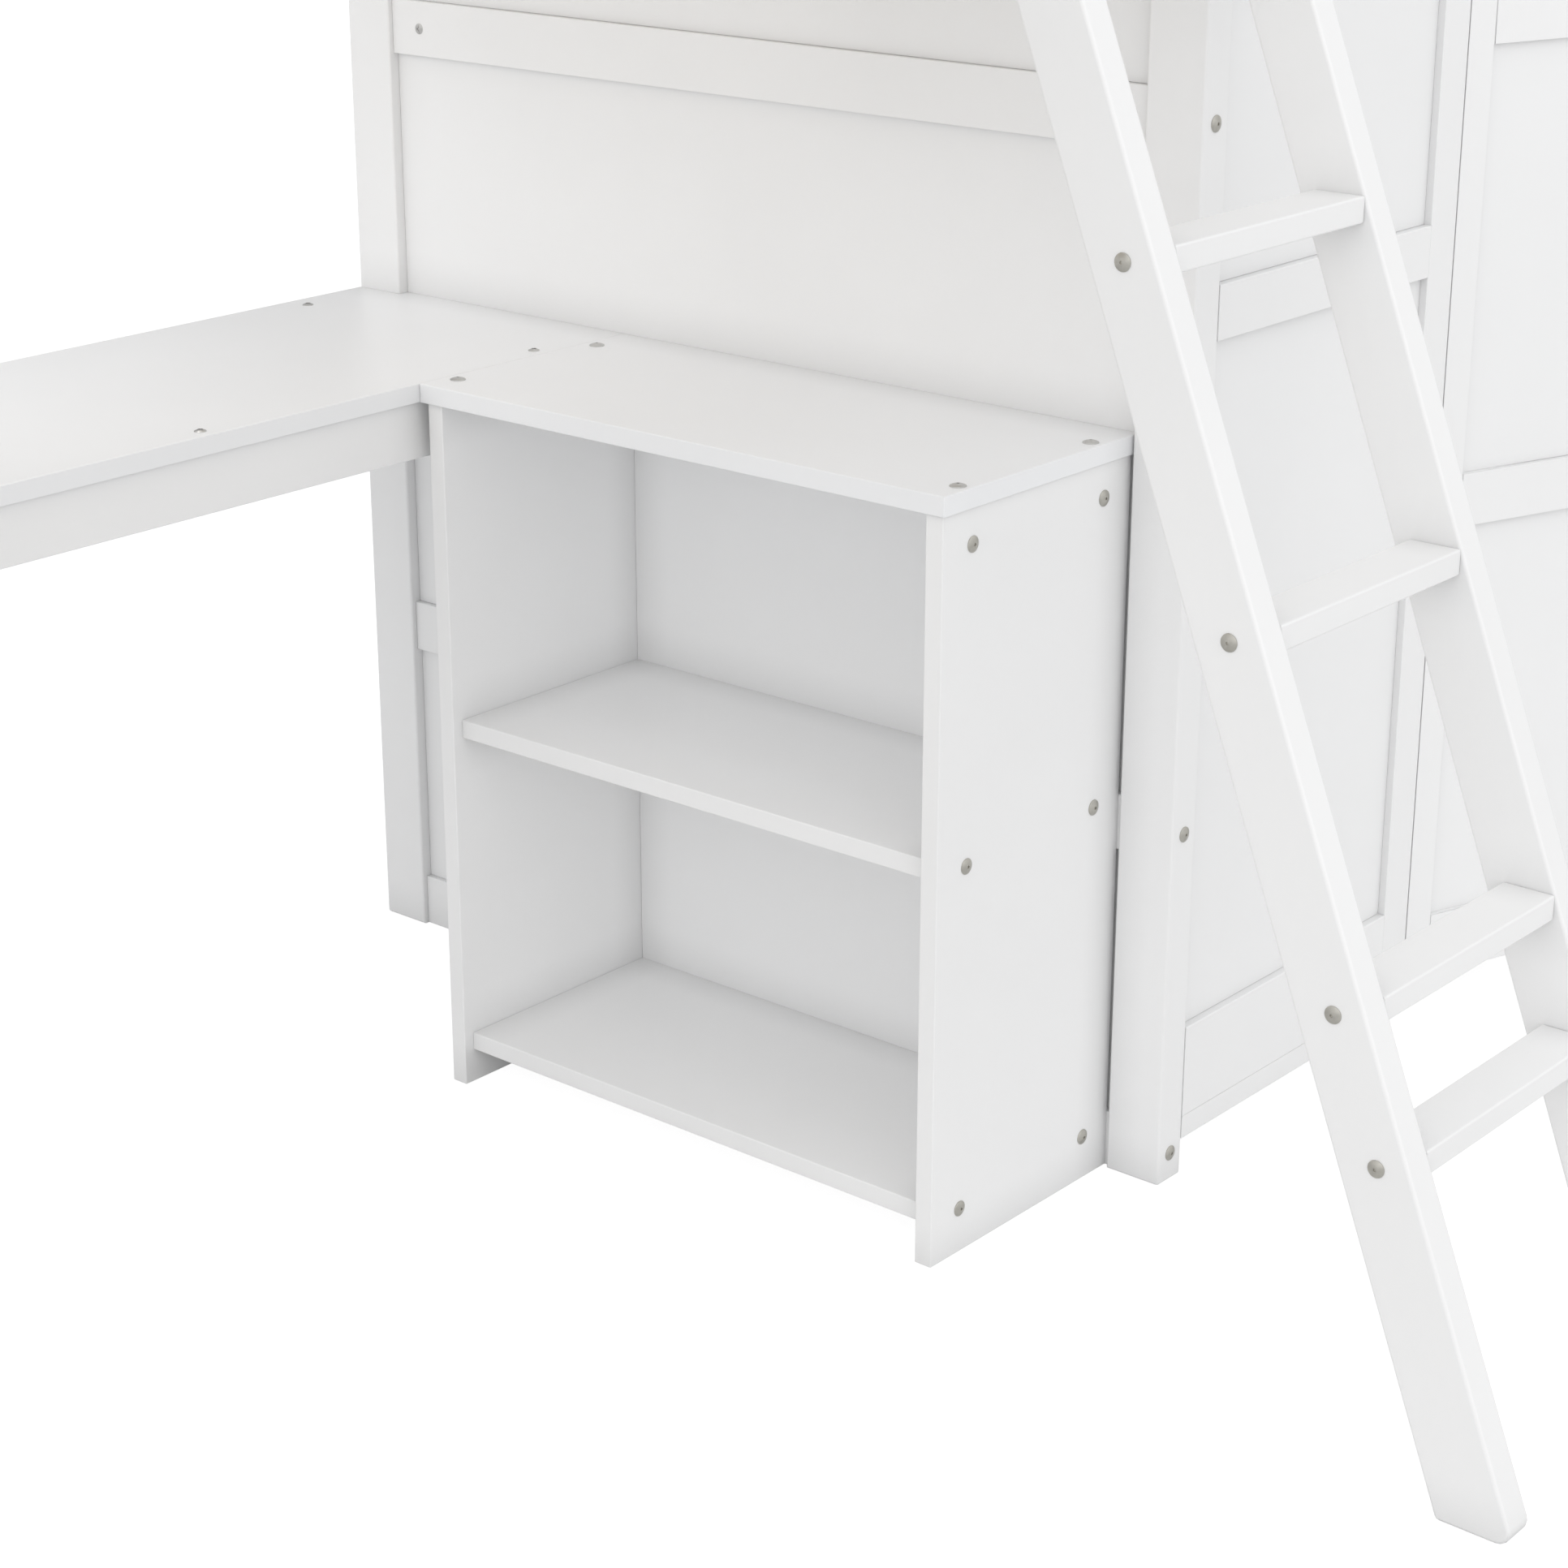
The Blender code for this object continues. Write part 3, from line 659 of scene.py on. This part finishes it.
def add_lid_screws():
    """Screws through the wardrobe's lid into its frame."""
    margin = 0.0185
    back_margin = 0.0305
    low, high = BOXES["wardrobe_lid"]
    spots = []
    for x in (low.x + margin, (low.x + high.x) / 2, high.x - margin):
        for y in (low.y + margin, high.y - back_margin):
            spots.append((Vector((x, y, high.z)), UP))
    for part in (1, 2):
        y = low.y + (high.y - low.y) * part / 3
        spots.append((Vector((low.x + margin, y, high.z)), UP))
    fasteners("wardrobe_lid_screws", BED, SCREW, spots, STEEL)


# ---------------------------------------------------------------- metal plates


def plate_ring(half_x, half_y, corner, height, inset=0.0):
    """A rectangle with round corners."""
    steps = 5
    ring = []
    for quarter, (side_x, side_y) in enumerate(((1, 1), (-1, 1), (-1, -1), (1, -1))):
        for n in range(steps + 1):
            angle = math.pi / 2 * (quarter + n / steps)
            x = side_x * (half_x - corner) + (corner - inset) * math.cos(angle)
            y = side_y * (half_y - corner) + (corner - inset) * math.sin(angle)
            ring.append((x, y, height))
    return ring


def plate(work, matrix, half_x, half_y, thick, corner):
    """A plate with round corners and a softened upper edge, standing on the matrix's XY plane."""
    edge = thick * 0.35
    rings = [plate_ring(half_x, half_y, corner, 0.0),
             plate_ring(half_x, half_y, corner, thick - edge),
             plate_ring(half_x, half_y, corner, thick, edge)]
    loft(work, rings, matrix)


def add_guard_straps():
    """Steel straps on the mattress side that tie the guards' stiles to the long rails."""
    half_wide, half_tall, thick = 0.009, 0.045, 0.002
    screw_levels = (-0.034, -0.014, 0.014, 0.034)
    work = bmesh.new()
    stile = GUARD_STILE / 2
    low, high = BOXES["guard_back"]
    first = low.x + stile
    across = high.x - low.x - GUARD_STILE
    front = BOXES["guard_front_left"][1].y
    spots = [(first + across * n / 3, low.y, FRONT) for n in (1, 2)]
    spots.append((BOXES["guard_front_left"][1].x - stile, front, BACK))
    spots.append((BOXES["guard_front_right"][0].x + stile, front, BACK))
    for x, y, normal in spots:
        centre = Vector((x, y, low.z))
        plate(work, aimed(centre, normal), half_wide, half_tall, thick, half_wide * 0.98)
        for level in screw_levels:
            domed_head(work, centre + UP * level + normal * thick, normal, **SMALL_SCREW)
    add_piece("guard_straps", work, BED, STEEL)


def add_ladder_brackets():
    """Angle brackets between the ladder's tops and the front rail."""
    half_tall, leg, thick, corner = 0.022, 0.024, 0.002, 0.003
    under_top = 0.045       # from the ladder's top to the brackets' middles
    screw_levels = (-0.012, 0.012)
    screw_out = leg * 0.6   # from the corner along each leg
    wall = BOXES["side_rail_front"][0].y
    z = BOXES["ladder_rail_left"][1].z - under_top
    for side, face, normal in (("left", 1, RIGHT), ("right", 0, LEFT)):
        x = BOXES[f"ladder_rail_{side}"][face].x
        bend = Vector((x, wall, z))
        work = bmesh.new()
        plate(work, aimed(bend + FRONT * (leg / 2), normal), leg / 2, half_tall, thick, corner)
        plate(work, aimed(bend + normal * (leg / 2), FRONT), leg / 2, half_tall, thick, corner)
        for level in screw_levels:
            rise = UP * level
            domed_head(work, bend + FRONT * screw_out + normal * thick + rise, normal, **SMALL_SCREW)
            domed_head(work, bend + normal * screw_out + FRONT * thick + rise, FRONT, **SMALL_SCREW)
        add_piece(f"ladder_bracket_{side}", work, BED, STEEL)


# ---------------------------------------------------------------- turned fittings


def shut_box(name):
    """A door node's lowest and highest corners from the hinge's axis, as if the door were shut."""
    back = SHUT_TO_REST.inverted()
    points = [back @ vertex.co for vertex in frame["nodes"][name].data.vertices]
    return [Vector([pick(point[axis] for point in points) for axis in range(3)]) for pick in (min, max)]


def turn_profile(work, profile, matrix, count=TURNED_POINTS):
    """A body turned about the matrix's Z axis from (radius, height) points."""
    loft(work, [round_ring(radius, height, count) for radius, height in profile], matrix)


def knob_profile(radius, reach):
    """A rosette on the door, a waisted neck and a flattened ball, from shares of its radius and reach."""
    rosette = ((0.74, 0.0), (0.76, 0.03), (0.73, 0.07), (0.62, 0.10), (0.48, 0.13))
    neck_waist, neck_flare, neck_foot, neck_height = 0.36, 0.10, 0.16, 0.30
    ball_middle = reach * 0.72
    ball_from, ball_to = -58, 88    # degrees over its widest ring
    neck_steps, ball_steps = 8, 24
    profile = [(radius * wide, reach * tall) for wide, tall in rosette]
    for n in range(neck_steps + 1):
        along = n / neck_steps
        wide = neck_waist + neck_flare * (2 * along - 1) ** 2
        profile.append((radius * wide, reach * (neck_foot + neck_height * along)))
    for n in range(ball_steps + 1):
        angle = math.radians(ball_from + (ball_to - ball_from) * n / ball_steps)
        profile.append((radius * math.cos(angle), ball_middle + (reach - ball_middle) * math.sin(angle)))
    return profile


def add_knob():
    """A turned knob in place of the CAD's."""
    low, high = shut_box("door_knob")
    place = Vector(((low.x + high.x) / 2, high.y, (low.z + high.z) / 2))
    work = bmesh.new()
    profile = knob_profile((high.x - low.x) / 2, high.y - low.y)
    turn_profile(work, profile, SHUT_TO_REST @ aimed(place, FRONT))
    knob = add_piece("door_knob_turned", work, DOOR, STEEL)
    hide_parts("door_knob")


def cup_profile(brim, deep):
    """A hinge cup from the edge of its foot, over its rim and down its inside."""
    wall, soft, foot_soft = 0.0014, 0.0004, 0.0003
    body = brim - CUP_BRIM
    inside = body - wall
    return [
        (body - foot_soft, -deep),
        (body, -deep + foot_soft),
        (body, -CUP_BRIM_T),
        (brim, -CUP_BRIM_T),
        (brim, -soft),
        (brim - soft, 0.0),
        (inside + soft, 0.0),
        (inside, -soft),
        (inside, -deep + 2 * wall),
        (inside - wall, -deep + wall),
    ]


def add_hinge_cups():
    """Hollow hinge cups with their screwed ears, and the arms that reach them from the plates."""
    half_wide, half_tall, thick = 0.0055, 0.0080, 0.0012
    screw_out = 0.002       # from an ear's middle to its screw
    for level in ("lower", "upper"):
        low, high = shut_box(f"hinge_cup_{level}")
        mouth = Vector(((low.x + high.x) / 2, high.y, (low.z + high.z) / 2))
        brim = (high.x - low.x) / 2
        work = bmesh.new()
        turn_profile(work, cup_profile(brim, high.y - low.y), SHUT_TO_REST @ aimed(mouth, BACK), CUP_POINTS)
        for side in (-1, 1):
            ear = mouth + Vector((0.0, -CUP_BRIM_T, side * (brim + half_tall * 0.55)))
            plate(work, SHUT_TO_REST @ aimed(ear, BACK), half_wide, half_tall, thick, half_wide * 0.9)
            screw = SHUT_TO_REST @ (ear + Vector((0.0, thick, side * screw_out)))
            domed_head(work, screw, SHUT_TO_REST.to_3x3() @ BACK, **SMALL_SCREW)
        cup = add_piece(f"hinge_cup_{level}_hollow", work, DOOR, STEEL)
        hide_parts(f"hinge_cup_{level}")
        add_hinge_arm(level, SHUT_TO_REST @ mouth)


def add_hinge_arm(level, mouth):
    """A bent steel arm from a hinge plate round the stile's edge into the cup on the door."""
    half_tall, half_thick = 0.0045, 0.0009
    sunk = 0.003            # how deep the arm starts in the plate's block
    over = 0.0012           # how far it swings past the cup's mouth
    depths = (0.001, 0.0025, 0.004, 0.0055)     # of its end, in the cup
    steps = 22
    screw_out = 0.013       # from the arm to the screws of the plate
    plate_low, plate_high = BOXES[f"hinge_plate_{level}"]
    axis = Vector((HINGE.x, HINGE.y, mouth.z))
    start = Vector((plate_high.x - HINGE_BLOCK / 2, plate_high.y - sunk, mouth.z)) - axis
    end = mouth - axis
    reach = end.length + over
    first = math.atan2(start.y, start.x)
    last = math.atan2(end.y, end.x)
    path = []
    for n in range(steps + 1):
        angle = first + (last - first) * n / steps
        swell = start.length + (reach - start.length) * min(1.0, n / steps * 2)
        path.append(axis + Vector((math.cos(angle), math.sin(angle), 0.0)) * swell)
    into_cup = SHUT_TO_REST.to_3x3() @ FRONT
    path += [mouth + into_cup * depth for depth in depths]
    outline = plate_ring(half_thick, half_tall, half_thick * 0.8, 0.0)
    rings = []
    for n, point in enumerate(path):
        before, after = path[max(n - 1, 0)], path[min(n + 1, len(path) - 1)]
        side = (after - before).normalized().cross(UP)
        rings.append([point + side * x + UP * z for x, z, _ in outline])
    work = bmesh.new()
    loft(work, rings, Matrix.Identity(4))
    arm = add_piece(f"hinge_arm_{level}", work, None, STEEL)
    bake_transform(arm)

    x = (plate_low.x + plate_high.x - HINGE_BLOCK) / 2
    y = plate_low.y + HINGE_PLATE_T
    spots = [(Vector((x, y, mouth.z + up)), BACK) for up in (-screw_out, screw_out)]
    fasteners(f"hinge_plate_screws_{level}", BED, SMALL_SCREW, spots, STEEL)


def add_rod():
    """The wardrobe's rail as a tube, in place of the CAD's, between two screwed sockets."""
    soft = 0.0006
    low, high = BOXES["wardrobe_rod"]
    centre = middle("wardrobe_rod")
    radius = (high.z - low.z) / 2
    length = high.x - low.x
    profile = [(radius - soft, 0.0), (radius, soft), (radius, length - soft), (radius - soft, length)]
    work = bmesh.new()
    turn_profile(work, profile, aimed(Vector((low.x, centre.y, centre.z)), RIGHT))
    rod = add_piece("wardrobe_rod_tube", work, BED, STEEL)
    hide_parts("wardrobe_rod")
    add_rod_socket("left", Vector((low.x, centre.y, centre.z)), RIGHT, radius)
    add_rod_socket("right", Vector((high.x, centre.y, centre.z)), LEFT, radius)


def add_rod_socket(side, place, normal, radius):
    """A collar round the end of a rod, on a flange with three screws."""
    flange, collar, thick, deep = radius * 2.0, radius + 0.0022, 0.003, 0.014
    soft, lip, clear = 0.0012, 0.0005, 0.0006
    profile = [
        (flange, 0.0),
        (flange, thick * 0.5),
        (flange - soft, thick),
        (collar + soft, thick),
        (collar, thick + soft),
        (collar, deep - lip),
        (collar - lip, deep),
        (radius + clear, deep),
    ]
    work = bmesh.new()
    turn_profile(work, profile, aimed(place, normal))
    for n in range(3):
        angle = math.radians(90 + 120 * n)
        out = Vector((0.0, math.cos(angle), math.sin(angle))) * ((flange + collar) / 2)
        domed_head(work, place + out + normal * thick, normal, **SMALL_SCREW)
    add_piece(f"rod_socket_{side}", work, BED, BOLT_STEEL)


# ---------------------------------------------------------------- floor, light and camera


def add_floor():
    """A pale matt floor. Seen directly it glows, so that it stays as white as the studio around it."""
    work = bmesh.new()
    bmesh.ops.create_grid(work, x_segments=1, y_segments=1, size=FLOOR_REACH)
    mesh = bpy.data.meshes.new("floor")
    work.to_mesh(mesh)
    work.free()
    graph = Graph(bpy.data.materials.new("pale_floor"))
    tint = graph.noise(graph.place(), scale=2.0)
    matt = graph.ramp(tint, (0.3, grey(0.74)), (0.7, grey(0.76)))
    seen = graph.add("LightPath").outputs["Is Camera Ray"]
    lit = graph.mixed("MIX", seen, matt, (*grey(FLOOR_SEEN), 1.0))
    graph.feed(lit, graph.shader.inputs["Base Color"])
    graph.feed(1.0, graph.shader.inputs["Roughness"])
    graph.feed(0.0, graph.shader.inputs["Specular IOR Level"])
    graph.feed((*WHITE, 1.0), graph.shader.inputs["Emission Color"])
    graph.feed(graph.spread(seen, 0.0, FLOOR_GLOW), graph.shader.inputs["Emission Strength"])
    mesh.materials.append(graph.owner)
    floor = bpy.data.objects.new("floor", mesh)
    floor.location.z = -FLOOR_DROP
    bpy.context.scene.collection.objects.link(floor)


def add_studio():
    """A white studio, brighter from the front and the left. Seen directly it is never less than white."""
    world = bpy.data.worlds.new("studio")
    bpy.context.scene.world = world
    graph = Graph(world, "Background")
    slope = graph.add("VectorMath", operation="DOT_PRODUCT")
    graph.feed(graph.add("TexCoord").outputs["Generated"], slope.inputs[0])
    graph.feed(STUDIO_SLOPE, slope.inputs[1])
    level = graph.calc("ADD", slope.outputs["Value"], STUDIO_LEVEL)
    seen = graph.add("LightPath").outputs["Is Camera Ray"]
    graph.feed(graph.calc("MAXIMUM", level, seen), graph.shader.inputs["Strength"])
    graph.feed((*WHITE, 1.0), graph.shader.inputs["Color"])


def add_fill():
    """A soft panel under the long rails, over the desk."""
    right = BOXES["bookcase_top"][0].x - FILL_SHORT
    left = right - FILL_WIDTH
    near = middle("desk_top").y - FILL_SHORT
    far = BOXES["slat_roll"][1].y
    fill = bpy.data.lights.new("fill", "AREA")
    fill.shape = "RECTANGLE"
    fill.size = right - left
    fill.size_y = far - near
    fill.energy = FILL_POWER
    lamp = bpy.data.objects.new("fill", fill)
    lamp.location = ((left + right) / 2, (near + far) / 2, BOXES["side_rail_front"][0].z - FILL_DROP)
    lamp.visible_camera = False
    bpy.context.scene.collection.objects.link(lamp)


def add_camera():
    """A camera at the photograph's place, and the scene's own."""
    data = bpy.data.cameras.new("camera")
    data.sensor_width = 36.0
    data.lens = CAMERA_LENS
    data.clip_start = 0.05
    data.clip_end = 200.0
    camera = bpy.data.objects.new("camera", data)
    camera.location = BOXES["partition_post_front"][0] + CAMERA_FROM_POST
    camera.rotation_euler = (CAMERA_TILT, 0.0, CAMERA_HEADING)
    bpy.context.scene.collection.objects.link(camera)
    bpy.context.scene.camera = camera


add_camera()
add_studio()
add_fill()
add_floor()
bpy.context.scene.view_settings.view_transform = "Standard"
bpy.context.scene.cycles.max_bounces = BOUNCES
bpy.context.scene.cycles.diffuse_bounces = BOUNCES
finish_boards()
add_ladder_bolts()
add_rail_bolts()
add_desk_fasteners()
add_deck_bolts()
add_slat_screws()
add_guard_straps()
add_ladder_brackets()
add_knob()
add_hinge_cups()
add_rod()
add_lid_screws()
